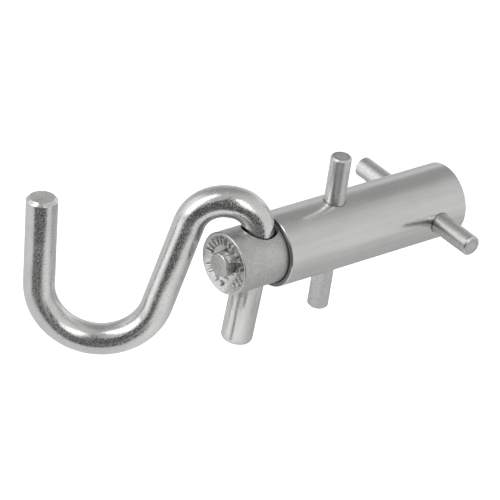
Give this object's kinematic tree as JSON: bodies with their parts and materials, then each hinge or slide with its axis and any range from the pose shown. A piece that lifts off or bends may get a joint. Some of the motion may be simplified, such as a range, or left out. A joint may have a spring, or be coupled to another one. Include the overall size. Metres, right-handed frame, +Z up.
{
  "type": "meat hook",
  "caption": "Wall-socket meat hook: a bent round-bar hook swivels in a cast spigot held in a steel sleeve, keyed into masonry by cross pins.",
  "frame": {"origin": "centre of the sleeve's mouth, on the sleeve's axis", "axes": "+Z up, +Y along the sleeve into the wall, the spigot stands out towards -Y"},
  "size_m": [0.0898, 0.1585, 0.0828],
  "materials": {
    "sleeve_steel": "drawn stainless tube, fine lengthwise brushing",
    "spigot_casting": "matt shot-blasted stainless casting",
    "pin_steel": "cut round bar, fine drawn finish",
    "hook_bar": "tumbled bright stainless bar"
  },
  "bodies": {
    "socket": {"sleeve": "sleeve_steel", "spigot": "spigot_casting", "front_cross_pin": "pin_steel", "rear_cross_pin": "pin_steel"},
    "hook": {"hook": "hook_bar"}
  },
  "joints": [
    {"name": "hook_swivel", "type": "hinge", "parent": "socket", "child": "hook", "pos_m": [0, -0.007, 0], "axis": [0, 0.0698, 0.9976], "range_deg": [-45, 125]}
  ]
}
